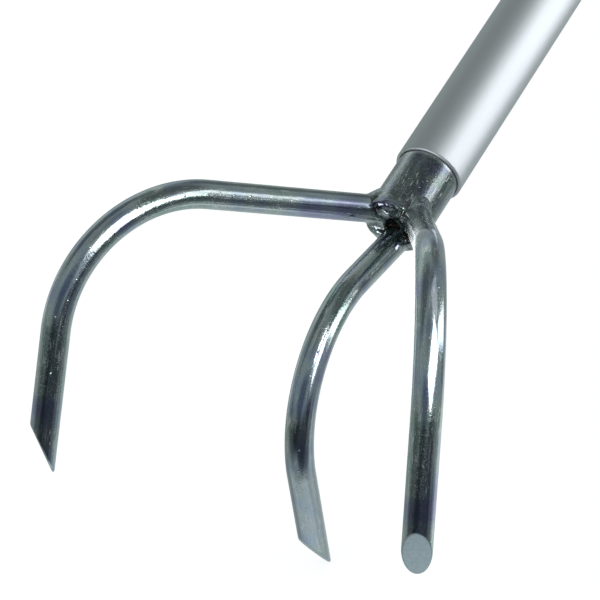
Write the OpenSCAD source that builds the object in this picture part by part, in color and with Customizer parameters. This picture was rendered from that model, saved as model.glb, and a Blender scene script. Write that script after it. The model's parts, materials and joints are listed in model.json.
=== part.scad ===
// Long handled cultivator claw: three bent steel tines welded on a spigot tube in an aluminium handle.
// Lengths are in millimetres, angles in degrees. The tool lies on the floor, tines down, handle along +Y.

/* [Handle] */
// Outer diameter of the aluminium handle tube
handle_d = 25.4; // [22:0.1:32]
// Wall of the handle tube
handle_wall = 1; // [0.8:0.1:2]
// Length of the handle tube
handle_l = 1140; // [600:10:1600]
// Break on the outer edge of the tube's two cut ends
handle_edge = 0.3; // [0.1:0.05:0.5]

/* [Spigot] */
// Play between the spigot and the handle's bore, on each side
spigot_play = 0.2; // [0.1:0.05:0.4]
// Wall of the steel spigot tube
spigot_wall = 1.5; // [1:0.1:2.5]
// Length of the spigot that stands out of the handle
spigot_out_l = 27; // [20:0.5:45]
// Length of the spigot inside the handle
spigot_insert_l = 90; // [70:5:150]

/* [Tines] */
// Diameter of the round bar that the tines are bent from
bar_d = 10; // [7:0.1:11]
// Radius of the bend at the middle of the bar, one jig for all three tines
bend_r = 46.8; // [30:0.1:65]
// Angle that the jig bends a bar through
bend_angle = 94.8; // [75:0.1:110]
// Length of the slanted cut that makes a tine's point
bevel_l = 16; // [8:0.5:20]
// Play of a bar in its notch in the spigot's wall
notch_play = 0.1; // [0.05:0.05:0.4]
// Depth of an outer tine's cut end inside the spigot's mouth
outer_depth = 5.6; // [4:0.1:7]
// Straight run of an outer tine from its cut end to its bend
outer_lead = 72.3; // [50:0.1:110]
// Straight run of an outer tine from its bend to its point
outer_reach = 49.4; // [30:0.1:80]
// Upward tilt of the plane in which the outer tines spread
outer_tilt = 42; // [25:0.1:50]
// Spread of an outer tine to its side in that plane
outer_splay = 29.7; // [18:0.1:38]
// Turn of an outer tine about its own bar, which leans its bend towards the middle
outer_roll = 5.7; // [0:0.1:12]
// Depth of the middle tine's cut end inside the spigot's mouth
middle_depth = 5; // [3:0.1:8]
// Straight run of the middle tine from its cut end to its bend
middle_lead = 35; // [25:0.1:70]
// Straight run of the middle tine from its bend to its point
middle_reach = 42.6; // [25:0.1:70]
// Upward tilt of the middle tine where it leaves the spigot
middle_tilt = 13.9; // [0:0.1:20]
// Gap between the cut ends of the two outer tines
pair_gap = 3.6; // [1:0.1:5]
// Gap that keeps the outer tines' cut ends above the middle one's
stack_gap = 0.4; // [0.3:0.1:2]
// Height by which the middle tine's cut end stands past the underside of the spigot
middle_overhang = 0.8; // [0:0.1:1.5]

/* [Welds] */
// Length of an outer tine's weld along the bar, from where the bar's top leaves the spigot
outer_weld_run = 3.2; // [2:0.1:6]
// Slope of an outer tine's weld from the bar up to the spigot
outer_weld_slope = 30; // [20:1:40]
// Height by which an outer tine's weld is thicker on top
outer_weld_lift = 3; // [1:0.1:3.5]
// Length of the middle tine's weld along the bar, from the bar's cut end
middle_weld_run = 7.6; // [6:0.1:12]
// Slope of the middle tine's weld from the bar up to the spigot
middle_weld_slope = 16; // [10:1:30]
// Height by which the middle tine's weld is thicker underneath
middle_weld_lift = 0.6; // [0:0.1:2]
// Length of a weld behind the bar's cut end
weld_back = 1; // [0.5:0.1:4]
// Share of the bar's radius by which the thin end of a weld sinks into its bar
weld_sink_share = 0.05; // [0.02:0.01:0.1]
// Share of the spigot's bore that the welds leave open
throat_share = 0.62; // [0.4:0.01:0.8]
// Thickness of the weld pool that closes the spigot's mouth round the bars
pool_t = 2; // [1:0.1:3]
// Width of the hole left in the weld pool
pool_hole_w = 5; // [3:0.1:7]
// Height of the hole left in the weld pool
pool_hole_h = 9.6; // [8:0.1:12]
// Distance of that hole's middle below the middle of the spigot
pool_hole_drop = 1.6; // [0:0.1:3]

/* [Rivets] */
// Shank diameter of the blind rivets under the handle
rivet_d = 4; // [3.2:0.1:5]
// Diameter of a rivet's flange
rivet_flange_d = 8; // [6:0.1:10]
// Thickness of a rivet's flange
rivet_flange_t = 1; // [0.6:0.1:1.5]
// Diameter of the bulb that the rivet forms inside the spigot
rivet_bulb_d = 6.2; // [5:0.1:8]
// Height of that bulb
rivet_bulb_h = 3.4; // [2.5:0.1:5]
// Diameter of the mandrel left in a rivet
mandrel_d = 2.2; // [1.6:0.1:2.6]
// Diameter of the mandrel's head
mandrel_head_d = 3.6; // [2.8:0.1:4.4]
// Length of the mandrel's head
mandrel_head_h = 2; // [1:0.1:3]
// Play of a rivet's shank in its holes, on each side
rivet_play = 0.05; // [0.02:0.01:0.15]
// Distance of the first rivet from the handle's head end
rivet_first = 20; // [12:1:30]
// Distance between the rivets
rivet_pitch = 45; // [20:1:50]
// Number of rivets
rivet_count = 2; // [1:1:2]

/* [Grip] */
// Length of the soft sleeve at the far end of the handle
grip_l = 190; // [120:5:300]
// Wall of the sleeve
grip_wall = 3; // [2:0.1:5]
// Rounding of the sleeve's ends
grip_edge = 1.4; // [0.6:0.1:1.9]
// Distance between the finger grooves round the sleeve
groove_pitch = 15; // [8:0.5:30]
// Radius of a groove's round section
groove_r = 2.4; // [1:0.1:4]
// Depth of a groove
groove_depth = 0.9; // [0.4:0.1:1.4]
// Plain length at each end of the sleeve
grip_plain = 24; // [12:1:50]

/* [End cap] */
// Thickness of the cap's flange on the end of the handle
cap_flange_t = 5; // [3:0.5:10]
// Rounding of the flange's far edge
cap_edge = 2; // [0.5:0.1:2.8]
// Length of the plug inside the handle
cap_plug_l = 28; // [15:1:60]
// Gap between the plug's body and the handle's bore
cap_plug_gap = 0.5; // [0.3:0.1:1]
// Number of gripping rings round the plug
cap_ring_count = 3; // [2:1:5]
// Width of a gripping ring
cap_ring_w = 2; // [1:0.1:3]
// Thickness of the hanging tongue
tongue_t = 11; // [7:0.5:16]
// Width of the hanging tongue
tongue_w = 24; // [18:0.5:26]
// Distance of the hanging hole from the flange
tongue_l = 12; // [9:0.5:30]
// Diameter of the hanging hole
hang_d = 9; // [5:0.5:12]
// Break on the edges of the hanging hole
hang_edge = 0.8; // [0.2:0.1:1.5]

/* [Hidden] */
$fn = 64;

// Colours as they look on the object
zinc = "#9aa4aa";
weld_grey = "#8b9090";
aluminium = "#c3c8cc";
rivet_alloy = "#b4b8ba";
mandrel_steel = "#7b7f82";
soft_black = "#2b2c2d";
cap_black = "#1f2021";

// Cuts and solids that only have to reach past something reach past it by this
overrun = bar_d;

// Handle, spigot and bars
handle_r = handle_d / 2;
bore_r = handle_r - handle_wall;
spigot_r = bore_r - spigot_play;
mouth_r = spigot_r - spigot_wall;
bar_r = bar_d / 2;
bevel_turn = atan2(bar_d, bevel_l);

// Places of the middles of the bars' cut ends
outer_y = outer_depth - spigot_out_l;
outer_x = pair_gap / 2 + bar_r * cos(outer_splay);
middle_y = middle_depth - spigot_out_l;
middle_z = bar_r / cos(middle_tilt) - spigot_r - middle_overhang;
stack_rise = sqrt(max(0, pow(bar_d + stack_gap, 2) - pow(outer_x, 2)));
outer_z = middle_z - (outer_y - middle_y) * tan(middle_tilt) + stack_rise;

// How far along an outer bar its top line leaves the spigot, worked out in x and z
outer_along = [sin(outer_splay), cos(outer_splay) * sin(outer_tilt)];
outer_upright = [
    -sin(outer_roll) * cos(outer_splay),
    sin(outer_roll) * sin(outer_splay) * sin(outer_tilt) + cos(outer_roll) * cos(outer_tilt)
];
outer_top = [outer_x, outer_z] + bar_r * outer_upright;
outer_exit = way_out(outer_top, outer_along);

// Welds
weld_sink = weld_sink_share * bar_r;
throat_r = throat_share * mouth_r;

// Grip and cap
grip_r = handle_r + grip_wall;
groove_count = floor((grip_l - 2 * grip_plain) / groove_pitch) + 1;
groove_first = (grip_l - (groove_count - 1) * groove_pitch) / 2;
plug_r = bore_r - cap_plug_gap;
ring_step = cap_plug_l / cap_ring_count;
hang_y = handle_l + cap_flange_t + tongue_l;
tool_end_y = hang_y + tongue_w / 2;

// Way from a start inside the spigot to its outside, in x and z
function way_out(start, along) =
    (sqrt(pow(start * along, 2) + (along * along) * max(0, pow(spigot_r, 2) - start * start)) - start * along)
    / (along * along);

// Point of a tine in the frame of its own straight root
function point_y(lead, reach) =
    bar_r * sin(bend_angle) - lead - bend_r * sin(bend_angle) - reach * cos(bend_angle);
function point_z(reach) =
    bend_r * (cos(bend_angle) - 1) - reach * sin(bend_angle) - bar_r * cos(bend_angle);

// The middle tine's point, and the outer tines' reach ahead of the handle
middle_point_y = point_y(middle_lead, middle_reach);
middle_point_z = point_z(middle_reach);
low_y = middle_point_y * cos(middle_tilt) + middle_point_z * sin(middle_tilt) + middle_y;
low_z = middle_point_z * cos(middle_tilt) - middle_point_y * sin(middle_tilt) + middle_z;
outer_point_y = point_y(outer_lead, outer_reach);
outer_point_z = point_z(outer_reach);
outer_ahead_y = outer_point_y * cos(outer_splay) - outer_point_z * sin(outer_roll) * sin(outer_splay);
front_y = outer_ahead_y * cos(outer_tilt) + outer_point_z * sin(outer_tilt) + outer_y;

// The tool lies on the middle tine's point and on the rim of the end cap
lie_turn = atan2(-grip_r - low_z, handle_l + cap_flange_t - low_y);
lie_y = (front_y + tool_end_y) / 2 * cos(lie_turn);
lie_z = low_y * sin(lie_turn) - low_z * cos(lie_turn);

// From the handle's own line to the floor, with the tool's middle over the origin
module lying() {
    translate([0, -lie_y, lie_z])
        rotate([-lie_turn, 0, 0])
            children();
}

// A round rod along +Y that starts at y = from, its seam on top as in the bends
module rod(r, from, length) {
    translate([0, from, 0])
        rotate([-90, 0, 0])
            rotate([0, 0, -90])
                cylinder(r = r, h = length);
}

// A shape in radius and length, turned about the handle's line
module turned() {
    rotate([-90, 0, 0])
        rotate_extrude()
            children();
}

// A bar that runs along -Y, bends down and ends in a point on the inside of its bend
module bent_bar(lead, reach) {
    difference() {
        union() {
            rod(bar_r, -lead, lead);
            translate([0, -lead, -bend_r])
                rotate([180, -90, 0])
                    rotate_extrude(angle = bend_angle)
                        translate([bend_r, 0])
                            circle(r = bar_r);
            past_bend(lead)
                rod(bar_r, -reach - overrun, reach + overrun);
        }
        past_bend(lead)
            translate([-bar_d, -reach, -bar_r])
                rotate([bevel_turn, 0, 0])
                    translate([0, -overrun, 0])
                        cube([2 * bar_d, bevel_l + bar_d + 2 * overrun, 2 * bar_d]);
    }
}

// The frame at the end of the bend, where the bar runs on along -Y
module past_bend(lead) {
    translate([0, -lead, -bend_r])
        rotate([bend_angle, 0, 0])
            translate([0, 0, bend_r])
                children();
}

// Where the outer bar on the right starts
module outer_place() {
    translate([outer_x, outer_y, outer_z])
        rotate([-outer_tilt, 0, 0])
            rotate([0, 0, outer_splay])
                rotate([0, -outer_roll, 0])
                    children();
}

// Where the middle bar starts
module middle_place() {
    translate([0, middle_y, middle_z])
        rotate([-middle_tilt, 0, 0])
            children();
}

module right_tine_shape() {
    outer_place()
        bent_bar(outer_lead, outer_reach);
}

module middle_tine_shape() {
    middle_place()
        bent_bar(middle_lead, middle_reach);
}

// The straight roots of all three bars, with some play all round
module bar_roots(play) {
    outer_place()
        rod(bar_r + play, -outer_lead, outer_lead + play);
    mirror([1, 0, 0])
        outer_place()
            rod(bar_r + play, -outer_lead, outer_lead + play);
    middle_place()
        rod(bar_r + play, -middle_lead, middle_lead + play);
}

// A weld that tapers off along a bar, thicker by the lift on its upper side
module bead(run, slope, lift) {
    thin_r = bar_r - weld_sink - lift;
    translate([0, weld_back, lift])
        rotate([90, 0, 0])
            cylinder(r1 = thin_r + (run + weld_back) * tan(slope), r2 = thin_r, h = run + weld_back);
}

module outer_bead() {
    outer_place()
        bead(outer_exit + outer_weld_run, outer_weld_slope, outer_weld_lift);
}

module middle_bead() {
    middle_place()
        mirror([0, 0, 1])
            bead(middle_weld_run, middle_weld_slope, middle_weld_lift);
}

// The welds lie outside the spigot and the bars, and leave its mouth open between them
module weld_limits() {
    bar_roots(0);
    rod(spigot_r, -spigot_out_l, spigot_out_l);
    rod(throat_r, -spigot_out_l - middle_weld_run, middle_weld_run);
}

// Keeps what is on the right of the tool's middle plane
module right_half() {
    reach = 4 * bar_d + spigot_r;
    intersection() {
        children();
        translate([0, -spigot_out_l - reach, -reach])
            cube([reach, 2 * reach, 2 * reach]);
    }
}

module right_weld_shape() {
    difference() {
        right_half()
            outer_bead();
        weld_limits();
    }
}

module middle_weld_shape() {
    difference() {
        middle_bead();
        weld_limits();
        outer_bead();
        mirror([1, 0, 0])
            outer_bead();
    }
}

// The weld pool fills the spigot's mouth round the bars, but for the hole that is left between them
module weld_pool_shape() {
    difference() {
        rod(mouth_r, -spigot_out_l, pool_t);
        bar_roots(0);
        pool_hole();
    }
}

// An upright slot with round ends, through the weld pool
module pool_hole() {
    straight = pool_hole_h - pool_hole_w;
    translate([0, overrun - spigot_out_l, -pool_hole_drop])
        rotate([90, 0, 0])
            linear_extrude(2 * overrun) {
                square([pool_hole_w, straight], center = true);
                for (z = [-straight / 2, straight / 2])
                    translate([0, z])
                        circle(d = pool_hole_w);
            }
}

// Each place on the underside of the handle where a rivet goes in
module rivet_places() {
    for (i = [0 : rivet_count - 1])
        translate([0, rivet_first + i * rivet_pitch, 0])
            children();
}

// A peg that points down from z = -from to z = -to
module down_peg(r, from, to) {
    translate([0, 0, -to])
        cylinder(r = r, h = to - from);
}

// A tube wall turned about the handle's line, long enough to shape a rivet
module rivet_band(r_out, r_in) {
    reach = rivet_flange_d + rivet_bulb_d;
    difference() {
        rod(r_out, -reach / 2, reach);
        rod(r_in, -reach, 2 * reach);
    }
}

module rivet_shape() {
    difference() {
        union() {
            intersection() {
                down_peg(rivet_flange_d / 2, mouth_r, handle_r + 2 * rivet_flange_t);
                rivet_band(handle_r + rivet_flange_t, handle_r);
            }
            down_peg(rivet_d / 2, mouth_r - rivet_bulb_h / 2, handle_r + rivet_flange_t / 2);
            intersection() {
                down_peg(rivet_bulb_d / 2, mouth_r - rivet_bulb_h, mouth_r + spigot_wall);
                rivet_band(mouth_r, mouth_r / 2);
            }
        }
        mandrel_shape();
    }
}

module mandrel_shape() {
    bulb_end = mouth_r - rivet_bulb_h;
    down_peg(mandrel_d / 2, bulb_end, handle_r + rivet_flange_t / 2);
    down_peg(mandrel_head_d / 2, bulb_end - mandrel_head_h / 2, bulb_end + mandrel_head_h / 2);
}

module rivet_holes() {
    rivet_places()
        down_peg(rivet_d / 2 + rivet_play, 0, handle_r + overrun);
}

// Half section of a wall with both outer edges rounded
module rounded_section(r_in, r_out, from, length, edge) {
    translate([r_in, from])
        square([r_out - r_in - edge, length]);
    translate([r_in, from + edge])
        square([r_out - r_in, length - 2 * edge]);
    for (y = [from + edge, from + length - edge])
        translate([r_out - edge, y])
            circle(r = edge);
}

module handle_tube() {
    color(aluminium) lying()
        difference() {
            turned()
                polygon([
                    [bore_r, 0],
                    [handle_r - handle_edge, 0],
                    [handle_r, handle_edge],
                    [handle_r, handle_l - handle_edge],
                    [handle_r - handle_edge, handle_l],
                    [bore_r, handle_l]
                ]);
            rivet_holes();
        }
}

module spigot() {
    color(zinc) lying()
        difference() {
            rod(spigot_r, -spigot_out_l, spigot_out_l + spigot_insert_l);
            rod(mouth_r, -spigot_out_l - overrun, spigot_out_l + spigot_insert_l + 2 * overrun);
            bar_roots(notch_play);
            rivet_holes();
        }
}

module tine_right() {
    color(zinc) lying()
        right_tine_shape();
}

module tine_left() {
    color(zinc) lying()
        mirror([1, 0, 0])
            right_tine_shape();
}

module tine_middle() {
    color(zinc) lying()
        middle_tine_shape();
}

module weld_right() {
    color(weld_grey) lying()
        right_weld_shape();
}

module weld_left() {
    color(weld_grey) lying()
        mirror([1, 0, 0])
            right_weld_shape();
}

module weld_middle() {
    color(weld_grey) lying()
        middle_weld_shape();
}

module weld_pool() {
    color(weld_grey) lying()
        weld_pool_shape();
}

module spigot_rivets() {
    color(rivet_alloy) lying()
        rivet_places()
            rivet_shape();
}

module rivet_mandrels() {
    color(mandrel_steel) lying()
        rivet_places()
            mandrel_shape();
}

module grip_sleeve() {
    color(soft_black) lying()
        turned()
            difference() {
                rounded_section(handle_r, grip_r, handle_l - grip_l, grip_l, grip_edge);
                for (i = [0 : groove_count - 1])
                    translate([
                        grip_r + groove_r - groove_depth,
                        handle_l - grip_l + groove_first + i * groove_pitch
                    ])
                        circle(r = groove_r);
            }
}

module end_cap() {
    color(cap_black) lying()
        difference() {
            union() {
                turned()
                    cap_section();
                tongue();
            }
            hang_hole();
        }
}

// Half section of the flange and of the plug with its gripping rings
module cap_section() {
    translate([0, handle_l])
        square([grip_r, cap_flange_t - cap_edge]);
    translate([0, handle_l])
        square([grip_r - cap_edge, cap_flange_t]);
    translate([grip_r - cap_edge, handle_l + cap_flange_t - cap_edge])
        circle(r = cap_edge);
    translate([0, handle_l - cap_plug_l])
        square([plug_r, cap_plug_l]);
    for (i = [0 : cap_ring_count - 1])
        translate([0, handle_l - cap_plug_l + (i + 1 / 2) * ring_step - cap_ring_w / 2])
            square([bore_r, cap_ring_w]);
}

// A flat tongue with a round end
module tongue() {
    translate([-tongue_t / 2, 0, 0])
        rotate([90, 0, 90])
            linear_extrude(tongue_t) {
                translate([handle_l + cap_flange_t / 2, -tongue_w / 2])
                    square([tongue_l + cap_flange_t / 2, tongue_w]);
                translate([hang_y, 0])
                    circle(d = tongue_w);
            }
}

// The hanging hole through the tongue, with both edges broken
module hang_hole() {
    translate([0, hang_y, 0])
        rotate([0, 90, 0]) {
            cylinder(d = hang_d, h = tongue_t + 2 * overrun, center = true);
            for (turn = [0, 180])
                rotate([turn, 0, 0])
                    translate([0, 0, tongue_t / 2 - hang_edge])
                        cylinder(d1 = hang_d, d2 = hang_d + 4 * hang_edge, h = 2 * hang_edge);
        }
}

handle_tube();
spigot();
tine_left();
tine_middle();
tine_right();
weld_left();
weld_middle();
weld_right();
weld_pool();
spigot_rivets();
rivet_mandrels();
grip_sleeve();
end_cap();
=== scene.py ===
"""Long handled cultivator claw: looks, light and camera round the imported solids.

Metres, in the part's own frame."""
import json
from math import acos, cos, pi, radians, sin, tan

import bmesh
import bpy
from bmesh.types import BMEdge, BMFace, BMVert
from mathutils import Matrix, Quaternion, Vector, noise


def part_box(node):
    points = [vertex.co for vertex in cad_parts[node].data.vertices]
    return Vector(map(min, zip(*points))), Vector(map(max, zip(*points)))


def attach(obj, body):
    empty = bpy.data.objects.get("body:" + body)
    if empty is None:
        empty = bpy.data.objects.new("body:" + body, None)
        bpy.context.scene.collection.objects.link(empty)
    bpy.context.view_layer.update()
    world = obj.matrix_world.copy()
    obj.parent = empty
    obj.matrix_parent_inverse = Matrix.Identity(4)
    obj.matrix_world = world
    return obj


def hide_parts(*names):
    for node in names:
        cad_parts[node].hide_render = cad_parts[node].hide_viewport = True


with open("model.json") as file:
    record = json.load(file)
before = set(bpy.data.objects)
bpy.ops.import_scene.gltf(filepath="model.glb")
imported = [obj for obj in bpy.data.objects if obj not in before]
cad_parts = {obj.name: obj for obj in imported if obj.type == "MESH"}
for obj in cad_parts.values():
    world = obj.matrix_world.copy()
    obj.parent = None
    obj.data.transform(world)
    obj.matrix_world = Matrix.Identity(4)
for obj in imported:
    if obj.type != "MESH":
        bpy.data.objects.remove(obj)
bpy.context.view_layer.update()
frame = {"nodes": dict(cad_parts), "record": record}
nodes = frame["nodes"]

MM = 0.001

# Sizes of the tool, the same as in the part's source
HANDLE_L = 1140 * MM
HANDLE_R = 12.7 * MM
HANDLE_WALL = 1 * MM
SPIGOT_R = 11.5 * MM
SPIGOT_WALL = 1.5 * MM
SPIGOT_OUT = 27 * MM
BAR_R = 5 * MM
BEND_R = 46.8 * MM
BEND_ANGLE = radians(94.8)
BEVEL_L = 16 * MM

# Each bar: place of its root in the tool's frame, tilt, splay and roll in degrees, and the lengths of its
# straight runs before and after the bend
OUTER_ROOT = Vector((6.143, -21.4, 1.094)) * MM
OUTER_TURNS = (42, 29.7, 5.7)
OUTER_RUNS = (72.3 * MM, 49.4 * MM)
MIDDLE_ROOT = Vector((0, -22, -7.149)) * MM
MIDDLE_TURNS = (13.9, 0, 0)
MIDDLE_RUNS = (35 * MM, 42.6 * MM)
# How far each bar's slanted cut is turned about the bar from the outside of the bend. The left bar is
# mirrored, so all three turn towards the same side
CUT_TURNS = {"right": radians(-8), "left": radians(16), "middle": radians(-16)}
# Width of the rounding on the edge of the cut, and the length that it takes off the sharp point, so the cut
# starts that much further out
CUT_EDGE = 1.2 * MM
CUT_EDGE_STEPS = 6
POINT_WEAR = 1.6 * MM
# How finely a bar is cut into faces, round it and along its bend
BAR_SIDES = 64
BEND_STEPS = 72

# Weld beads, each a cone from a bar into the spigot: how far along the bar it starts, its radius there, the
# middle of its wide end in the tool's frame, and its radius there
OUTER_BEAD = (9 * MM, 4.3 * MM, Vector((0, -15, 0)) * MM, 9.9 * MM)
MIDDLE_BEAD = (9 * MM, 4.6 * MM, Vector((0, -20, -8)) * MM, 6.6 * MM)
# Length of each bar that the weld flows round
ROOT_L = 22 * MM
# Weld that has run over the spigot's end: its rise over the rim, and how far back it reaches
COLLAR_RISE = 0.5 * MM
COLLAR_L = 13 * MM
# Weld pool in the mouth: how far it stands out, its thickness, and the hole left in it
POOL_OUT = 0.5 * MM
POOL_DEPTH = 5 * MM
POOL_HOLE = Vector((-0.7, 0, -1.6)) * MM
POOL_HOLE_W = 6 * MM
POOL_HOLE_H = 9.6 * MM
# Drops of weld metal round the mouth: middle and half sizes in the tool's frame, in millimetres
WELD_DROPS = (
    ((0, -26.6, 7.6), (5.5, 2.6, 3.4)),
    ((-6.4, -26.4, -4.8), (2.8, 2, 3.2)),
    ((6.8, -26.8, -5.4), (3, 2.8, 3.2)),
    ((-4.2, -25.2, 7.2), (2.5, 2.2, 2.2)),
    ((3.5, -33.4, -2.6), (1.9, 3, 1.9)),
)
RING_SIDES = 64
# How the weld melts together: its finest grain, its smoothing, the passes of that, and how far it then sinks
WELD_VOXEL = 0.35 * MM
SMOOTHING = 0.5
WELD_FLOW = 26
WELD_INSET = 0.1 * MM
# Lumps and ripples left in it
LUMP_SIZE = 3 * MM
LUMP_HEIGHT = 0.25 * MM
RIPPLE_SIZE = 1.1 * MM
RIPPLE_HEIGHT = 0.1 * MM
# Passes of smoothing that fill its crevices, and the depth at which one counts fully
CREVICE_PASSES = 30
CREVICE_DEPTH = 0.25 * MM

# Rolled rim of the handle's ends
HANDLE_RIM = 0.75 * MM
RIM_STEPS = 6
HANDLE_SIDES = 128

# Grip sleeve: length, radius, rounding of its ends, and its ring grooves
GRIP_L = 190 * MM
GRIP_R = 15.7 * MM
GRIP_EDGE = 1.4 * MM
GROOVE_COUNT = 10
GROOVE_PITCH = 15 * MM
GROOVE_R = 2.4 * MM
GROOVE_DEPTH = 0.9 * MM
# Rounding of a groove's lips, which lie within a little of the sleeve's surface
LIP_R = 0.35 * MM
LIP_STEPS = 3
LIP_NEAR = 0.1 * MM
GRIP_SIDES = 96
ARC_STEPS = 10

# Edges that turn more than this stay sharp
SHARP_ANGLE = radians(35)


def add(tree, kind, inputs=(), **settings):
    """Adds a node, sets its settings, and links or sets its inputs, given as pairs of socket and value."""
    node = tree.nodes.new(kind)
    for key, value in settings.items():
        setattr(node, key, value)
    for key, value in inputs:
        if isinstance(value, bpy.types.NodeSocket):
            tree.links.new(value, node.inputs[key])
        else:
            node.inputs[key].default_value = value
    return node


def hex_colour(text):
    """An sRGB hex value as a linear colour."""
    parts = [int(text[i : i + 2], 16) / 255 for i in (1, 3, 5)]
    return tuple(p / 12.92 if p <= 0.04045 else ((p + 0.055) / 1.055) ** 2.4 for p in parts) + (1,)


def new_material(name):
    """An empty material, its node tree and its shader."""
    material = bpy.data.materials.new(name)
    material.use_nodes = True
    tree = material.node_tree
    tree.nodes.clear()
    shader = add(tree, "ShaderNodeBsdfPrincipled")
    add(tree, "ShaderNodeOutputMaterial", [("Surface", shader.outputs[0])])
    return material, tree, shader


# The tool's own frame: its origin on the handle's axis at the head end, +Y along the handle
handle_low, handle_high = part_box("handle_tube")
handle_middle = (handle_low + handle_high) / 2
hang_hole = Vector(frame["record"]["mounts"][0]["pos_m"])
axis_y = (hang_hole - handle_middle).normalized()
axis_x = Vector((1, 0, 0))
axis_z = axis_x.cross(axis_y)
tool = Matrix((axis_x, axis_y, axis_z)).transposed().to_4x4()
tool.translation = handle_middle - axis_y * HANDLE_L / 2


def only(kind, geom):
    """The vertices, edges or faces among what an operator gives back."""
    return [g for g in geom if isinstance(g, kind)]


def round_edges(bm, edges, offset, steps, measure="OFFSET"):
    """Rounds edges. The new faces take the material of the faces beside them."""
    bmesh.ops.bevel(
        bm,
        geom=edges,
        offset=offset,
        offset_type=measure,
        affect="EDGES",
        segments=steps,
        profile=0.5,
        material=-1,
    )


def finish_piece(name, bm, materials):
    """Makes an object of a mesh that is already in place, with smooth faces and sharp edges."""
    mesh = bpy.data.meshes.new(name)
    bm.to_mesh(mesh)
    bm.free()
    mesh.shade_smooth()
    mesh.set_sharp_from_angle(angle=SHARP_ANGLE)
    for material in materials:
        mesh.materials.append(material)
    piece = bpy.data.objects.new(name, mesh)
    bpy.context.scene.collection.objects.link(piece)
    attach(piece, "root")
    return piece


# Bars
def bar_place(root, turns):
    """The frame of a bar that starts at root and runs along its own -Y."""
    tilt, splay, roll = [radians(t) for t in turns]
    spread = Matrix.Rotation(-tilt, 4, "X") @ Matrix.Rotation(splay, 4, "Z") @ Matrix.Rotation(-roll, 4, "Y")
    return tool @ Matrix.Translation(root) @ spread


def after_bend(lead):
    """The frame, in a bar's own, of its straight run after the bend, which also runs along -Y."""
    turned = Matrix.Translation((0, -lead, -BEND_R)) @ Matrix.Rotation(BEND_ANGLE, 4, "X")
    return turned @ Matrix.Translation((0, 0, BEND_R))


def straightened(place, lead):
    """Gives a function that takes a point of a bent bar to its place on the bar before bending."""
    to_bar = place.inverted()
    to_tip = after_bend(lead).inverted()
    bend_l = BEND_R * BEND_ANGLE

    def unbend(point):
        p = to_bar @ point
        if p.y > -lead:
            return p
        tip = to_tip @ p
        if tip.y < 0:
            return Vector((tip.x, tip.y - lead - bend_l, tip.z))
        out = Vector((0, p.y + lead, p.z + BEND_R))
        turn = Vector((0, 0, 1)).angle(out)
        return Vector((p.x, -lead - BEND_R * turn, out.length - BEND_R))

    return unbend


def bent_bar(name, place, runs, cut_turn, materials):
    """A round bar bent in one jig and cut off at a slant, with the cut's edge rounded by wear."""
    lead, reach = runs
    bm = bmesh.new()
    across = Matrix.Rotation(pi / 2, 4, "X")
    bmesh.ops.create_circle(bm, cap_ends=True, segments=BAR_SIDES, radius=BAR_R, matrix=across)
    grown = bmesh.ops.extrude_face_region(bm, geom=bm.faces[:], use_keep_orig=True)["geom"]
    bmesh.ops.translate(bm, verts=only(BMVert, grown), vec=(0, -lead, 0))
    bent = bmesh.ops.spin(
        bm,
        geom=only(BMFace, grown),
        cent=(0, -lead, -BEND_R),
        axis=(1, 0, 0),
        angle=BEND_ANGLE,
        steps=BEND_STEPS,
    )
    front = only(BMFace, bent["geom_last"])
    grown = bmesh.ops.extrude_face_region(bm, geom=front)["geom"]
    ahead = Vector((0, -cos(BEND_ANGLE), -sin(BEND_ANGLE)))
    bmesh.ops.translate(bm, verts=only(BMVert, grown), vec=ahead * (reach + BAR_R))
    bmesh.ops.delete(bm, geom=front, context="FACES_ONLY")

    tip = after_bend(lead)
    turn = Matrix.Rotation(cut_turn, 3, "Y")
    slant = Vector((0, -2 * BAR_R, BEVEL_L + POINT_WEAR)).normalized()
    cut = bmesh.ops.bisect_plane(
        bm,
        geom=bm.verts[:] + bm.edges[:] + bm.faces[:],
        plane_co=tip @ (turn @ Vector((0, -reach - POINT_WEAR, -BAR_R))),
        plane_no=tip.to_3x3() @ (turn @ slant),
        clear_outer=True,
    )
    rim = only(BMEdge, cut["geom_cut"])
    cut_face = bmesh.ops.contextual_create(bm, geom=rim)["faces"][0]
    cut_face.material_index = 1
    round_edges(bm, rim, CUT_EDGE, CUT_EDGE_STEPS, "WIDTH")

    bmesh.ops.transform(bm, verts=bm.verts[:], matrix=place)
    bmesh.ops.recalc_face_normals(bm, faces=bm.faces[:])
    straight = bm.verts.layers.float_vector.new("straight")
    unbend = straightened(place, lead)
    for v in bm.verts:
        v[straight] = unbend(v.co)
    return finish_piece(name, bm, materials)


# Weld
def disc(x, y, z, half_width, half_height):
    """Place and size of a circle in X and Z of the tool's frame."""
    return Matrix.Translation((x, y, z)) @ Matrix.Diagonal((half_width, 1, half_height, 1))


def ring_solid(bm, outer, inner, depth, taper=1):
    """A closed ring between two circles, given as matrices of a unit circle in X and Z, grown along +Y."""
    flat = Matrix.Rotation(pi / 2, 4, "X")
    edges = []
    for shape in (outer, inner):
        circle = bmesh.ops.create_circle(bm, segments=RING_SIDES, radius=1, matrix=shape @ flat)
        edges += list({e for v in circle["verts"] for e in v.link_edges})
    faces = bmesh.ops.bridge_loops(bm, edges=edges)["faces"]
    grown = bmesh.ops.extrude_face_region(bm, geom=faces, use_keep_orig=True)["geom"]
    verts = only(BMVert, grown)
    bmesh.ops.translate(bm, verts=verts, vec=(0, depth, 0))
    bmesh.ops.scale(bm, verts=verts, vec=(taper, 1, taper))


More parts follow.
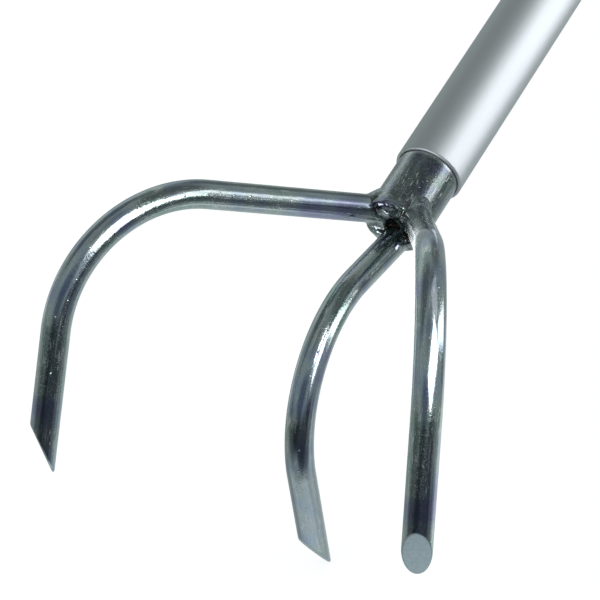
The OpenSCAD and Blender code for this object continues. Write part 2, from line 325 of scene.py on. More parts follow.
def weld_shapes(beads):
    """The plain shapes that melt into the weld: collar, pool, drops, and each bar's root and bead."""
    bm = bmesh.new()
    front = -SPIGOT_OUT - POOL_OUT
    mouth_r = SPIGOT_R - SPIGOT_WALL
    collar_r = SPIGOT_R + COLLAR_RISE
    pool_r = SPIGOT_R - SPIGOT_WALL / 2
    ring_solid(
        bm,
        disc(0, front, 0, collar_r, collar_r),
        disc(0, front, 0, mouth_r, mouth_r),
        COLLAR_L,
        (SPIGOT_R - COLLAR_RISE) / collar_r,
    )
    ring_solid(
        bm,
        disc(0, front, 0, pool_r, pool_r),
        disc(POOL_HOLE.x, front, POOL_HOLE.z, POOL_HOLE_W / 2, POOL_HOLE_H / 2),
        POOL_DEPTH,
    )
    for middle, half_sizes in WELD_DROPS:
        drop = Matrix.Translation(Vector(middle) * MM) @ Matrix.Diagonal((*(Vector(half_sizes) * MM), 1))
        bmesh.ops.create_uvsphere(
            bm, u_segments=RING_SIDES, v_segments=RING_SIDES // 2, radius=1, matrix=drop
        )
    bmesh.ops.transform(bm, verts=bm.verts[:], matrix=tool)
    for place, start, start_r, end, end_r in beads:
        for far, far_r, near, near_r in (
            (place @ Vector((0, -ROOT_L, 0)), BAR_R, place.translation, BAR_R),
            (place @ Vector((0, -start, 0)), start_r, tool @ end, end_r),
        ):
            way = near - far
            turn = way.to_track_quat("Z", "Y").to_matrix().to_4x4()
            bmesh.ops.create_cone(
                bm,
                cap_ends=True,
                segments=RING_SIDES,
                radius1=far_r,
                radius2=near_r,
                depth=way.length,
                matrix=Matrix.Translation((far + near) / 2) @ turn,
            )
    bmesh.ops.recalc_face_normals(bm, faces=bm.faces[:])
    return bm


def mark_crevices(mesh):
    """Keeps in an attribute, from 0 to 1, how deep each vertex lies under a smoothed copy of the mesh."""
    filled = bmesh.new()
    filled.from_mesh(mesh)
    for _ in range(CREVICE_PASSES):
        bmesh.ops.smooth_vert(
            filled,
            verts=filled.verts[:],
            factor=SMOOTHING,
            use_axis_x=True,
            use_axis_y=True,
            use_axis_z=True,
        )
    crevice = mesh.attributes.new("crevice", "FLOAT", "POINT")
    for v, over in zip(mesh.vertices, filled.verts):
        depth = (over.co - v.co).dot(v.normal)
        crevice.data[v.index].value = min(max(depth / CREVICE_DEPTH, 0), 1)
    filled.free()


def weld_metal(beads, materials):
    """Weld that fills the spigot's mouth round the bars: plain shapes melted into each other, with lumps."""
    piece = finish_piece("weld_metal", weld_shapes(beads), materials)
    melt = piece.modifiers.new("melt", "REMESH")
    melt.mode = "VOXEL"
    melt.voxel_size = WELD_VOXEL
    flow = piece.modifiers.new("flow", "SMOOTH")
    flow.factor = SMOOTHING
    flow.iterations = WELD_FLOW
    flowed = piece.evaluated_get(bpy.context.evaluated_depsgraph_get())
    melted = bpy.data.meshes.new_from_object(flowed)
    piece.modifiers.clear()
    piece.data = melted
    melted.shade_smooth()
    normals = [v.normal.copy() for v in melted.vertices]
    for v, normal in zip(melted.vertices, normals):
        lump = noise.noise(v.co / LUMP_SIZE) * LUMP_HEIGHT
        ripple = noise.noise(v.co / RIPPLE_SIZE) * RIPPLE_HEIGHT
        v.co += normal * (lump + ripple - WELD_INSET)
    mark_crevices(melted)
    return piece


# Handle and grip
def spun(outline, sides):
    """A closed outline, given as places along the handle and out from its axis, spun round that axis."""
    bm = bmesh.new()
    verts = [bm.verts.new((0, along, out)) for along, out in outline]
    edges = [bm.edges.new((v, verts[i - 1])) for i, v in enumerate(verts)]
    bmesh.ops.spin(
        bm,
        geom=verts + edges,
        cent=(0, 0, 0),
        axis=(0, 1, 0),
        angle=2 * pi,
        steps=sides,
        use_merge=True,
    )
    bmesh.ops.recalc_face_normals(bm, faces=bm.faces[:])
    return bm


def edges_outside(bm, radius):
    """The edges that lie further out from the handle's axis than a radius."""
    return [e for e in bm.edges if all(Vector((v.co.x, v.co.z)).length > radius for v in e.verts)]


def handle_tube(materials):
    """Thin tube, its wall spun round the handle's axis, with the outer edges of its ends rolled round."""
    inside = HANDLE_R - HANDLE_WALL
    bm = spun(((0, inside), (0, HANDLE_R), (HANDLE_L, HANDLE_R), (HANDLE_L, inside)), HANDLE_SIDES)
    outer = edges_outside(bm, HANDLE_R - HANDLE_WALL / 2)
    rims = [e for e in outer if e.calc_length() < HANDLE_R]
    round_edges(bm, rims, HANDLE_RIM, RIM_STEPS)
    bmesh.ops.transform(bm, verts=bm.verts[:], matrix=tool)
    return finish_piece("handle_drawn_tube", bm, materials)


def grip_sleeve(materials):
    """Rubber sleeve: half its section spun round the handle, with the lips of its grooves rounded."""
    start = HANDLE_L - GRIP_L
    lift = GRIP_R + GROOVE_R - GROOVE_DEPTH
    half = acos((lift - GRIP_R) / GROOVE_R)
    first = start + (GRIP_L - (GROOVE_COUNT - 1) * GROOVE_PITCH) / 2
    # Arcs of the outline: middle along the handle and out from it, radius, first and last angle
    arcs = [(start + GRIP_EDGE, GRIP_R - GRIP_EDGE, GRIP_EDGE, pi, pi / 2)]
    for i in range(GROOVE_COUNT):
        arcs.append((first + i * GROOVE_PITCH, lift, GROOVE_R, -pi / 2 - half, -pi / 2 + half))
    arcs.append((HANDLE_L - GRIP_EDGE, GRIP_R - GRIP_EDGE, GRIP_EDGE, pi / 2, 0))
    outline = [(start, HANDLE_R)]
    for along, out, r, a, b in arcs:
        for i in range(ARC_STEPS + 1):
            turn = a + (b - a) * i / ARC_STEPS
            outline.append((along + r * cos(turn), out + r * sin(turn)))
    outline.append((HANDLE_L, HANDLE_R))

    bm = spun(outline, GRIP_SIDES)
    # A lip is where a groove meets the surface at the angle half, and the steps of an arc turn far less
    lips = [e for e in edges_outside(bm, GRIP_R - LIP_NEAR) if e.calc_face_angle(0) > half / 2]
    round_edges(bm, lips, LIP_R, LIP_STEPS)
    bmesh.ops.transform(bm, verts=bm.verts[:], matrix=tool)
    return finish_piece("grip_rubber_sleeve", bm, materials)


def on_bar(tree):
    """Coordinates of a bar before it was bent, so that drawn lines follow the bend."""
    return add(tree, "ShaderNodeAttribute", attribute_name="straight").outputs["Vector"]


def on_tool(tree):
    """Object coordinates moved to the tool's frame, with Y along the handle's axis."""
    place = add(tree, "ShaderNodeTexCoord").outputs["Object"]
    back = tool.inverted()
    moved = [("Vector", place), ("Location", back.translation), ("Rotation", back.to_euler())]
    return add(tree, "ShaderNodeMapping", moved).outputs[0]


# Zinc plate, clear blue passivated: glossy, with a thin film that leans to violet, blue, plain grey or green
# in patches. Where in their noise each of these is full
ZINC_TINTS = ((0.32, "#9093ae"), (0.42, "#98a5b2"), (0.55, "#a6afb0"), (0.68, "#96a9a6"))
# Bare plate in a scratch, and the brown stain that stays in a crevice of the weld
ZINC_WORN = "#e2e7ea"
WELD_STAIN = "#3b322b"
# Values of a noise between which most of it lies, and those where a knock starts and is full
NOISE_RANGE = (0.3, 0.7)
KNOCK_RANGE = (0.44, 0.58)
# Lines from the drawing die, grain of the plate, waves of the steel under it, and dents where it was knocked
DRAWN_LINE = 0.35 * MM
DRAWN_STRETCH = (1, 0.05, 1)
DRAWN_LINE_HEIGHT = 0.004 * MM
PLATE_GRAIN = 0.6 * MM
STEEL_WAVE = 9 * MM
STEEL_WAVE_HEIGHT = 0.08 * MM
KNOCK_SIZE = 14 * MM
DENT_SIZE = 1.2 * MM
DENT_HEIGHT = 0.05 * MM
# Scratches: gap between them, detail, how far they are drawn out and their turn, then the values of the
# noise where one starts and is full, and how strong they are. Short ones lie across each other, specks are
# hardly drawn out, and long ones run along the steel
SCRATCHES = (
    ((0.9 * MM, 3, (1, 0.16, 1), (0.35, 0.2, 0.35)), (0.64, 0.72), "short_share"),
    ((0.9 * MM, 3, (1, 0.16, 1), (-0.6, 0.3, -0.7)), (0.64, 0.72), "short_share"),
    ((0.9 * MM, 3, (1, 0.16, 1), (1.1, -0.4, 1.1)), (0.64, 0.72), "short_share"),
    ((0.5 * MM, 3, (1, 0.7, 1), (0.4, 0, 0.8)), (0.64, 0.72), "short_share"),
    ((0.8 * MM, 2, (1, 0.025, 1), (0, 0.5, 0.015)), (0.6, 0.7), "long_share"),
    ((0.6 * MM, 2, (1, 0.06, 1), (0.03, 1.2, -0.06)), (0.61, 0.7), "long_share"),
)
SCRATCH_DEPTH = 0.016 * MM
SCRATCH_DULLNESS = 0.2
# Strength of the scratches where the steel hasn't been knocked
UNKNOCKED_SHARE = 0.3
# Small nodules of zinc, and the ring on the spigot that the handle's edge has rubbed
SPECK_GAP = 5 * MM
SPECK_R = 0.4 * MM
SPECK_HEIGHT = 0.14 * MM
RUBBED_L = 1.8 * MM
# How the plate looks on each piece: roughness, brightness, contrast of its mottling, height of its grain,
# strength of its marks, and the size of its tints
SHEEN_SPREAD = 0.08
BAR_LOOK = {
    "sheen": 0.11,
    "shade": 1,
    "mottle": 0.1,
    "grain_height": 0.011 * MM,
    "short_share": 0.8,
    "long_share": 0.5,
    "rubbed_share": 0,
    "root_shade": 0.8,
    "dent_share": 1,
    "patch_size": 14 * MM,
}
TUBE_LOOK = {
    "sheen": 0.16,
    "shade": 0.62,
    "mottle": 0.4,
    "grain_height": 0.03 * MM,
    "short_share": 1.2,
    "long_share": 0.3,
    "rubbed_share": 0.5,
    "root_shade": 1,
    "dent_share": 1,
    "patch_size": 7 * MM,
}
WELD_LOOK = {
    "sheen": 0.1,
    "shade": 0.7,
    "mottle": 0.35,
    "grain_height": 0.03 * MM,
    "short_share": 1.4,
    "long_share": 0.3,
    "rubbed_share": 0,
    "root_shade": 1,
    "dent_share": 2,
    "patch_size": 5 * MM,
}


def zinc_patterns(tree, place, look):
    """The patterns in zinc plate, by name: noises of a real size, and what they become."""
    scratches = {f"scratch_{i}": scratch for i, scratch in enumerate(SCRATCHES)}
    first_scratch, *other_scratches = scratches
    pattern = {}

    # Noises: real size, detail, and how far each is drawn out and turned
    even, level = (1, 1, 1), (0, 0, 0)
    for key, size, detail, stretch, turn in (
        ("tint", look["patch_size"], 1, even, level),
        ("lines", DRAWN_LINE, 3, DRAWN_STRETCH, level),
        ("grain", PLATE_GRAIN, 4, even, level),
        ("waves", STEEL_WAVE, 1, even, level),
        ("knocks", KNOCK_SIZE, 2, even, level),
        ("dents", DENT_SIZE, 3, even, level),
        *((key, *drawn) for key, (drawn, _, _) in scratches.items()),
    ):
        turned = add(tree, "ShaderNodeMapping", [("Vector", place), ("Rotation", turn), ("Scale", stretch)])
        field = add(
            tree,
            "ShaderNodeTexNoise",
            [("Vector", turned.outputs[0]), ("Scale", 1 / size), ("Detail", detail)],
        )
        pattern[key] = field.outputs[0]
    pattern["along"] = add(tree, "ShaderNodeSeparateXYZ", [("Vector", place)]).outputs["Y"]
    cells = add(tree, "ShaderNodeTexVoronoi", [("Vector", place), ("Scale", 1 / SPECK_GAP)])
    pattern["cells"] = cells.outputs["Distance"]
    pattern["crevice"] = add(tree, "ShaderNodeAttribute", attribute_name="crevice").outputs["Fac"]

    # What a stretch of a pattern becomes: knocked places, where the steel is dented and scratched, scratches
    # where a drawn out noise peaks, the rubbed ring, the darker root, nodules, mottling and gloss
    shade, mottle, sheen = look["shade"], look["mottle"], look["sheen"]
    for key, source, low, high, to_low, to_high in (
        ("knocked", "knocks", *KNOCK_RANGE, 0, 1),
        *((key, key, *peak, 0, look[share]) for key, (_, peak, share) in scratches.items()),
        ("scratched", "knocked", 0, 1, UNKNOCKED_SHARE, 1),
        ("rubbed", "along", -RUBBED_L, -RUBBED_L / 2, 0, look["rubbed_share"]),
        ("root", "along", -ROOT_L, -ROOT_L / 2, 1, look["root_shade"]),
        ("nodules", "cells", SPECK_R / SPECK_GAP, 0, 0, 1),
        ("mottle", "grain", *NOISE_RANGE, shade * (1 - mottle), shade * (1 + mottle)),
        ("gloss", "grain", *NOISE_RANGE, sheen, sheen + SHEEN_SPREAD),
    ):
        spread = add(
            tree,
            "ShaderNodeMapRange",
            [
                ("Value", pattern[source]),
                ("From Min", low),
                ("From Max", high),
                ("To Min", to_low),
                ("To Max", to_high),
            ],
        )
        pattern[key] = spread.outputs[0]
    for key, operation, first, second in (
        ("dented", "MULTIPLY", "dents", "knocked"),
        ("mottle", "MULTIPLY", "mottle", "root"),
        *((first_scratch, "MAXIMUM", first_scratch, key) for key in other_scratches),
        ("threads", "MULTIPLY", first_scratch, "scratched"),
    ):
        both = add(tree, "ShaderNodeMath", [(0, pattern[first]), (1, pattern[second])], operation=operation)
        pattern[key] = both.outputs[0]
    return pattern


def zinc_plate(name, where, look):
    """Zinc plate whose grain, drawn lines and marks follow the coordinates in where(tree)."""
    material, tree, shader = new_material(name)
    shader.inputs["Metallic"].default_value = 1
    pattern = zinc_patterns(tree, where(tree), look)

    tint = add(tree, "ShaderNodeValToRGB", [("Fac", pattern["tint"])])
    stops = tint.color_ramp.elements
    stops[0].position, stops[1].position = ZINC_TINTS[0][0], ZINC_TINTS[-1][0]
    for position, _ in ZINC_TINTS[1:-1]:
        stops.new(position)
    for stop, (_, colour) in zip(stops, ZINC_TINTS):
        stop.color = hex_colour(colour)
    mottled = add(
        tree, "ShaderNodeVectorMath", [(0, tint.outputs[0]), ("Scale", pattern["mottle"])], operation="SCALE"
    )
    # Scratches and the rubbed ring show bare plate, and a crevice in the weld keeps a brown stain
    colour = mottled.outputs[0]
    for key, over in (("threads", ZINC_WORN), ("rubbed", ZINC_WORN), ("crevice", WELD_STAIN)):
        mixed = add(
            tree,
            "ShaderNodeMix",
            [("Factor", pattern[key]), ("A", colour), ("B", hex_colour(over))],
            data_type="RGBA",
        )
        colour = mixed.outputs["Result"]
    tree.links.new(colour, shader.inputs["Base Color"])
    worn = add(
        tree,
        "ShaderNodeMath",
        [(0, pattern["threads"]), (1, SCRATCH_DULLNESS), (2, pattern["gloss"])],
        operation="MULTIPLY_ADD",
    )
    tree.links.new(worn.outputs[0], shader.inputs["Roughness"])

    bump = None
    for key, height in (
        ("waves", STEEL_WAVE_HEIGHT),
        ("dented", DENT_HEIGHT * look["dent_share"]),
        ("lines", DRAWN_LINE_HEIGHT),
        ("grain", look["grain_height"]),
        ("threads", -SCRATCH_DEPTH),
        ("nodules", SPECK_HEIGHT),
    ):
        below = [("Normal", bump.outputs[0])] if bump else []
        bump = add(
            tree, "ShaderNodeBump", [("Height", pattern[key]), ("Strength", 1), ("Distance", height)] + below
        )
    tree.links.new(bump.outputs[0], shader.inputs["Normal"])
    return material


# The same plate on the sheared face of the cut: dull, and a little torn
CUT_DARK = "#93a3ac"
CUT_PALE = "#bcc9cf"
CUT_ROUGHNESS = 0.45
TEAR_SIZE = 1.2 * MM
TEAR_HEIGHT = 0.03 * MM


def zinc_cut_face():
    """Zinc plate on the slanted cuts."""
    material, tree, shader = new_material("zinc_plated_cut_face")
    shader.inputs["Metallic"].default_value = 1
    shader.inputs["Roughness"].default_value = CUT_ROUGHNESS
    place = add(tree, "ShaderNodeTexCoord").outputs["Object"]
    torn = add(tree, "ShaderNodeTexNoise", [("Vector", place), ("Scale", 1 / TEAR_SIZE), ("Detail", 5)])
    colour = add(
        tree,
        "ShaderNodeMix",
        [("Factor", torn.outputs[0]), ("A", hex_colour(CUT_DARK)), ("B", hex_colour(CUT_PALE))],
        data_type="RGBA",
    )
    tree.links.new(colour.outputs["Result"], shader.inputs["Base Color"])
    bump = add(
        tree, "ShaderNodeBump", [("Height", torn.outputs[0]), ("Strength", 1), ("Distance", TEAR_HEIGHT)]
    )
    tree.links.new(bump.outputs[0], shader.inputs["Normal"])
    return material


def wire_finish(tree, shader, shade, colours, gloss, roughness, relief, height):
    """Mixes two colours by the pattern shade, sets roughness by gloss from one value to another, and raises
    relief to a height."""
    colour = add(
        tree,
        "ShaderNodeMix",
        [("Factor", shade), ("A", hex_colour(colours[0])), ("B", hex_colour(colours[1]))],
        data_type="RGBA",
    )
    tree.links.new(colour.outputs["Result"], shader.inputs["Base Color"])
    rough = add(
        tree, "ShaderNodeMapRange", [("Value", gloss), ("To Min", roughness[0]), ("To Max", roughness[1])]
    )
    tree.links.new(rough.outputs[0], shader.inputs["Roughness"])
    bump = add(tree, "ShaderNodeBump", [("Height", relief), ("Strength", 1), ("Distance", height)])
    tree.links.new(bump.outputs[0], shader.inputs["Normal"])


# Satin anodised aluminium, drawn tube: a pale soft metal with a broad highlight and very fine lines
ANODISED_COLOURS = ("#b2b7bb", "#bdc1c5")
ANODISED_ROUGHNESS = (0.57, 0.65)
ANODISED_GRAIN = 0.3 * MM
ANODISED_GRAIN_HEIGHT = 0.004 * MM
TUBE_LINE = 0.4 * MM
TUBE_LINE_STRETCH = (1, 0.02, 1)


def anodised_aluminium():
    """Satin anodised aluminium of the handle."""
    material, tree, shader = new_material("satin_anodised_aluminium")
    shader.inputs["Metallic"].default_value = 1
    place = on_tool(tree)
    along = add(tree, "ShaderNodeMapping", [("Vector", place), ("Scale", TUBE_LINE_STRETCH)]).outputs[0]
    lines = add(tree, "ShaderNodeTexNoise", [("Vector", along), ("Scale", 1 / TUBE_LINE), ("Detail", 3)])
    grain = add(
        tree, "ShaderNodeTexNoise", [("Vector", place), ("Scale", 1 / ANODISED_GRAIN), ("Detail", 3)]
    )
    wire_finish(
        tree,
        shader,
        shade=lines.outputs[0],
        colours=ANODISED_COLOURS,
        gloss=grain.outputs[0],
        roughness=ANODISED_ROUGHNESS,
        relief=grain.outputs[0],
        height=ANODISED_GRAIN_HEIGHT,
    )
    return material


# Thermoplastic rubber, moulded: matt black with an eroded grain, greyer where dust stays in the grooves and
# a little shinier on the lands that the hand rubs. The grain is drawn coarser than it is, so that it shows
RUBBER_COLOURS = ("#363633", "#101011")
RUBBER_ROUGHNESS = (0.85, 0.45)
RUBBER_GRAIN = 0.6 * MM
RUBBER_GRAIN_HEIGHT = 0.08 * MM
RUBBED_PATCH = 22 * MM


def grip_rubber():
    """Moulded rubber of the grip sleeve."""
    material, tree, shader = new_material("moulded_thermoplastic_rubber")
    place = on_tool(tree)
    across = add(tree, "ShaderNodeVectorMath", [(0, place), (1, (1, 0, 1))], operation="MULTIPLY")
    out = add(tree, "ShaderNodeVectorMath", [(0, across.outputs[0])], operation="LENGTH")
    land = add(
        tree,
        "ShaderNodeMapRange",
        [("Value", out.outputs["Value"]), ("From Min", GRIP_R - GROOVE_DEPTH), ("From Max", GRIP_R)],
    )
    grain = add(tree, "ShaderNodeTexNoise", [("Vector", place), ("Scale", 1 / RUBBER_GRAIN), ("Detail", 3)])
    rubbed = add(tree, "ShaderNodeTexNoise", [("Vector", place), ("Scale", 1 / RUBBED_PATCH), ("Detail", 4)])
    wear = add(tree, "ShaderNodeMath", [(0, land.outputs[0]), (1, rubbed.outputs[0])], operation="MULTIPLY")
    wire_finish(
        tree,
        shader,
        shade=wear.outputs[0],
        colours=RUBBER_COLOURS,
        gloss=wear.outputs[0],
        roughness=RUBBER_ROUGHNESS,
        relief=grain.outputs[0],
        height=RUBBER_GRAIN_HEIGHT,
    )
    return material


def marked_finish(name, metallic, colours, roughness, mark, grain, grain_height):
    """A finish with soft marks of one size, which change colour and roughness, and a grain of another."""
    material, tree, shader = new_material(name)
    shader.inputs["Metallic"].default_value = metallic
    place = on_tool(tree)
    marks = add(tree, "ShaderNodeTexNoise", [("Vector", place), ("Scale", 1 / mark), ("Detail", 6)])
    fine = add(tree, "ShaderNodeTexNoise", [("Vector", place), ("Scale", 1 / grain), ("Detail", 3)])
    low, high = NOISE_RANGE
    uneven = add(
        tree, "ShaderNodeMapRange", [("Value", marks.outputs[0]), ("From Min", low), ("From Max", high)]
    )
    wire_finish(
        tree,
        shader,
        shade=uneven.outputs[0],
        colours=colours,
        gloss=uneven.outputs[0],
        roughness=roughness,
        relief=fine.outputs[0],
        height=grain_height,
    )
    return material


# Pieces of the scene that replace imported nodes
zinc_bar = zinc_plate("zinc_plated_steel_bar", on_bar, BAR_LOOK)
zinc_cut = zinc_cut_face()
right_place = bar_place(OUTER_ROOT, OUTER_TURNS)
left_place = Matrix.Scale(-1, 4, axis_x) @ right_place
middle_place = bar_place(MIDDLE_ROOT, MIDDLE_TURNS)
bars = {}
for name, place, runs in (
    ("right", right_place, OUTER_RUNS),
    ("left", left_place, OUTER_RUNS),
    ("middle", middle_place, MIDDLE_RUNS),
):
    bar = bent_bar("bar_" + name, place, runs, CUT_TURNS[name], [zinc_bar, zinc_cut])
    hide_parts("tine_" + name)
    bars[name] = bar

handle = handle_tube([anodised_aluminium()])
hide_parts("handle_tube")

weld = weld_metal(
    [(right_place, *OUTER_BEAD), (left_place, *OUTER_BEAD), (middle_place, *MIDDLE_BEAD)],
    [zinc_plate("zinc_plated_weld_metal", on_tool, WELD_LOOK)],
)
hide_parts("weld_left", "weld_middle", "weld_right", "weld_pool")

grip = grip_sleeve([grip_rubber()])
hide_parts("grip_sleeve")

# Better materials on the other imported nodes. Soft aluminium, pressed: rivet flanges dulled by the setting
# tool. Plain steel, broken: rough stems with a little rust. Polypropylene, moulded: black with a waxy gloss,
# pale scuffs and an eroded grain
for node, material in (
    ("spigot", zinc_plate("zinc_plated_steel_tube", on_tool, TUBE_LOOK)),
    (
        "spigot_rivets",
        marked_finish(
            "pressed_aluminium",
            metallic=1,
            colours=("#a9adb0", "#cfd2d4"),
            roughness=(0.3, 0.5),
            mark=2 * MM,
            grain=0.3 * MM,
            grain_height=0.01 * MM,
        ),
    ),
    (
        "rivet_mandrels",
        marked_finish(
            "broken_steel_stem",
            metallic=1,
            colours=("#5b4a3d", "#8d8c8a"),
            roughness=(0.65, 0.4),
            mark=0.8 * MM,
            grain=0.2 * MM,
            grain_height=0.02 * MM,
        ),
    ),
    (
        "end_cap",
        marked_finish(
            "moulded_polypropylene",
            metallic=0,
            colours=("#121213", "#242527"),
            roughness=(0.38, 0.56),
            mark=9 * MM,
            grain=0.5 * MM,
            grain_height=0.04 * MM,
        ),
    ),
):
    nodes[node].material_slots[0].material = material

# Floor, room, light cards and camera. What the cards face, and how far away they stand
CLAW = Vector((0, -0.6, 0.08))
GRIP = tool @ Vector((0, HANDLE_L - GRIP_L / 2, 0))
CARD_AWAY = 2
FLOOR_HALF = 40
FLOOR_PAPER = "#e8e8e8"
FLOOR_ROUGHNESS = 0.9
FLOOR_GLOW = 0.78
ROOM_GREY = (0.4, 0.45, 0.43, 1)
BACKDROP = (0.9, 0.9, 0.9, 1)
# Walls and dark corners of the room: azimuth, elevation and slant of each, half its width and height in
# degrees, the share of it that is full, and its light
ROOM_PATCHES = (
    (0, 88, 0, 25, 25, 0.3, (0.26, 0.29, 0.29, 1)),
    (60, 47, 0, 46, 27, 0.5, (0.17, 0.185, 0.18, 1)),
    (152, 46, 0, 44, 22, 0.6, (0.17, 0.19, 0.19, 1)),
    (140, 8, 0, 42, 16, 0.5, (0.68, 0.74, 0.72, 1)),
    (172, -12, 0, 18, 12, 0.4, (0.9, 0.95, 0.95, 1)),
    (95, 7, 0, 20, 28, 0.4, (0.2, 0.22, 0.22, 1)),
    (0, -90, 0, 56, 56, 0.7, (0.64, 0.7, 0.7, 1)),
    (-72, -42, 0, 54, 19, 0.5, (0.85, 0.93, 0.93, 1)),
    (-75, 40, 0, 40, 26, 0.4, (0.14, 0.17, 0.22, 1)),
    (-118, 6, 0, 52, 23, 0.3, (0.12, 0.135, 0.128, 1)),
    (-81, 12, 0, 42, 19, 0.5, (0.03, 0.038, 0.043, 1)),
    (-42, -4, -12, 54, 26, 0.62, (0.06, 0.07, 0.085, 1)),
    (-10, -27, 0, 30, 14, 0.4, (0.17, 0.19, 0.21, 1)),
    (44, -18, 0, 10, 20, 0.5, (0.17, 0.19, 0.21, 1)),
    (60, -32, -50, 20, 8, 0.4, (0.45, 0.5, 0.53, 1)),
    (38, 15, 0, 11, 9, 0.3, (0.8, 0.84, 0.88, 1)),
    (14, 22, 0, 16, 9, 0.4, (1.2, 1.25, 1.35, 1)),
)
# Cards: name, what each faces, azimuth, elevation and slant, half the width and height in degrees, light,
# what each lights, and whether only that shades it
LEFT, MIDDLE, RIGHT = bars["left"], bars["middle"], bars["right"]
SPIGOT, CAP = nodes["spigot"], nodes["end_cap"]
CARDS = (
    ("left_window", CLAW, -12, 31, 15, 13, 25, 5, [LEFT], False),
    ("left_strip", CLAW, 12, 19, 0, 22, 6, 1.5, [LEFT, weld], False),
    ("left_bounce", CLAW, -35, -51, 0, 12, 8, 0.35, [LEFT], True),
    ("middle_window", CLAW, -5, 37, 0, 12, 19, 5, [MIDDLE, weld, SPIGOT], False),
    ("middle_strip", CLAW, 24, 5, 12, 7, 21, 3.2, [MIDDLE, weld], False),
    ("middle_bounce", CLAW, -3, -43, 0, 24, 9, 0.3, [MIDDLE], True),
    ("middle_side", CLAW, -128, -31, 0, 12, 10, 0.25, [MIDDLE], True),
    ("middle_root", CLAW, 112, 21, 0, 22, 9, 0.16, [MIDDLE], True),
    ("right_window", CLAW, -5, 44, 0, 27, 20, 5, [RIGHT], False),
    ("right_strip", CLAW, 42, 3, 25, 8, 23, 3, [RIGHT], False),
    ("right_fill", CLAW, 62, 47, 0, 17, 16, 0.7, [RIGHT], False),
    ("right_root", CLAW, 138, -37, 0, 8, 8, 1.8, [RIGHT], True),
    ("weld_root", CLAW, 138, -36, 0, 8, 7, 1.6, [weld], True),
    ("right_bounce", CLAW, 48, -48, 0, 20, 8, 0.5, [RIGHT], True),
    ("weld_glint", CLAW, 18, 12, 0, 8, 7, 4, [weld], False),
    ("weld_fleck", CLAW, -127, -14, 0, 8, 9, 5, [weld], False),
    ("spigot_strip", CLAW, 38, 6, 0, 9, 11, 1.8, [SPIGOT], False),
    ("spigot_edge", CLAW, 142, 8, 0, 16, 8, 0.35, [SPIGOT], False),
    ("handle_card", CLAW, 44, 5, 0, 20, 32, 4.9, [handle, grip, CAP], False),
    ("rim_card", CLAW, -108, 14, 0, 15, 12, 11, [handle], False),
    ("grip_card", GRIP, 20, 70, 0, 20, 30, 4, [grip, CAP], False),
)
# Camera that lines the tines up with the photograph, which is taken as 600 by 600
CAMERA_PLACE = Vector((0.42001, -1.06229, 0.75879))
CAMERA_VIEW = Vector((-0.46136, 0.51610, -0.72166))
CAMERA_ROLL = radians(-19.38)
CAMERA_LENS = 165.22


def sky(azimuth, elevation):
    """A direction from the claw, azimuth from +X towards +Y, in degrees."""
    a, e = radians(azimuth), radians(elevation)
    return Vector((cos(a) * cos(e), sin(a) * cos(e), sin(e)))


def make_floor():
    """A pale paper floor that the metal doesn't mirror, as in a photograph cut out on white."""
    bm = bmesh.new()
    bmesh.ops.create_grid(bm, x_segments=1, y_segments=1, size=FLOOR_HALF)
    mesh = bpy.data.meshes.new("studio_floor")
    bm.to_mesh(mesh)
    bm.free()
    material, _, shader = new_material("white_studio_paper")
    shader.inputs["Base Color"].default_value = hex_colour(FLOOR_PAPER)
    shader.inputs["Roughness"].default_value = FLOOR_ROUGHNESS
    shader.inputs["Specular IOR Level"].default_value = 0
    shader.inputs["Emission Color"].default_value = (1, 1, 1, 1)
    shader.inputs["Emission Strength"].default_value = FLOOR_GLOW
    mesh.materials.append(material)
    floor = bpy.data.objects.new("studio_floor", mesh)
    bpy.context.scene.collection.objects.link(floor)
    floor.visible_glossy = False


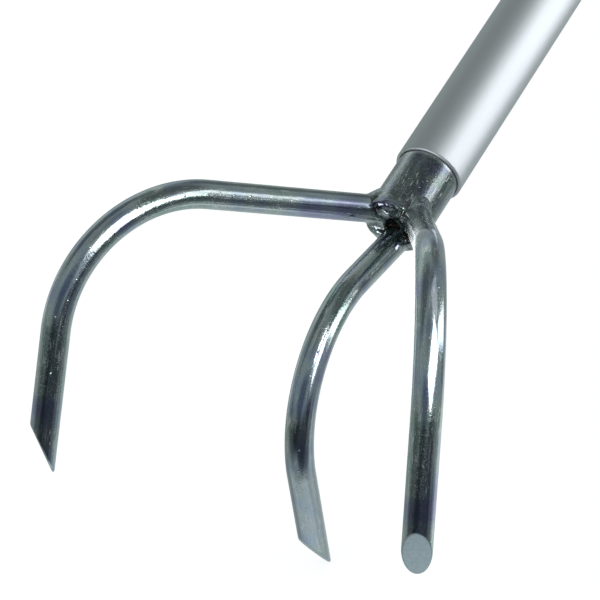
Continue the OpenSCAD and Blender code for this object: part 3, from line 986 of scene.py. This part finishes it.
def make_world():
    """A grey room with soft patches, each mixed over those before it, behind a white backdrop."""
    world = bpy.data.worlds.new("studio_room")
    world.use_nodes = True
    tree = world.node_tree
    tree.nodes.clear()
    way = add(tree, "ShaderNodeTexCoord").outputs["Generated"]
    colour = ROOM_GREY
    for azimuth, elevation, slant, wide, high, full, patch in ROOM_PATCHES:
        middle = sky(azimuth, elevation)
        level = sky(azimuth + 90, 0)
        upright = middle.cross(level)
        side = level * cos(radians(slant)) + upright * sin(radians(slant))
        turn = Matrix((side, middle.cross(side), middle)).transposed().to_euler()
        away = add(
            tree,
            "ShaderNodeMapping",
            [
                ("Vector", way),
                ("Location", middle),
                ("Rotation", turn),
                ("Scale", (sin(radians(wide)), sin(radians(high)), 1)),
            ],
            vector_type="TEXTURE",
        )
        far = add(tree, "ShaderNodeVectorMath", [(0, away.outputs[0])], operation="LENGTH")
        share = add(
            tree,
            "ShaderNodeMapRange",
            [("Value", far.outputs["Value"]), ("From Min", 1), ("From Max", full)],
            interpolation_type="SMOOTHSTEP",
        )
        mix = add(
            tree,
            "ShaderNodeMix",
            [("Factor", share.outputs["Result"]), ("A", colour), ("B", patch)],
            data_type="RGBA",
        )
        colour = mix.outputs["Result"]
    seen = add(tree, "ShaderNodeLightPath").outputs["Is Camera Ray"]
    shown = add(
        tree, "ShaderNodeMix", [("Factor", seen), ("A", colour), ("B", BACKDROP)], data_type="RGBA"
    )
    back = add(tree, "ShaderNodeBackground", [("Color", shown.outputs["Result"])])
    add(tree, "ShaderNodeOutputWorld", [("Surface", back.outputs[0])])
    bpy.context.scene.world = world


def make_card(name, middle, azimuth, elevation, slant, wide, high, radiance, lit, clear):
    """A soft light card that faces a place, flagged off all pieces but those in lit, and seen only in
    reflections. A clear card is shaded by those pieces alone."""
    light = bpy.data.lights.new(name, "AREA")
    light.shape = "RECTANGLE"
    light.size = 2 * CARD_AWAY * tan(radians(wide))
    light.size_y = 2 * CARD_AWAY * tan(radians(high))
    light.energy = radiance * pi * light.size * light.size_y
    card = bpy.data.objects.new(name, light)
    way = sky(azimuth, elevation)
    card.location = middle + way * CARD_AWAY
    card.rotation_mode = "QUATERNION"
    card.rotation_quaternion = way.to_track_quat("Z", "Y") @ Quaternion((0, 0, 1), radians(slant))
    card.visible_camera = False
    bpy.context.scene.collection.objects.link(card)
    flagged = bpy.data.collections.new(name + "_lights")
    for piece in lit:
        flagged.objects.link(piece)
    card.light_linking.receiver_collection = flagged
    if clear:
        card.light_linking.blocker_collection = flagged


def make_camera():
    """The camera of the photograph."""
    camera = bpy.data.objects.new("camera", bpy.data.cameras.new("camera"))
    camera.data.lens = CAMERA_LENS
    camera.location = CAMERA_PLACE
    camera.rotation_mode = "QUATERNION"
    camera.rotation_quaternion = CAMERA_VIEW.to_track_quat("-Z", "Y") @ Quaternion((0, 0, 1), CAMERA_ROLL)
    bpy.context.scene.collection.objects.link(camera)
    bpy.context.scene.camera = camera


make_floor()
make_world()
for card in CARDS:
    make_card(*card)
make_camera()
bpy.context.scene.view_settings.view_transform = "Standard"
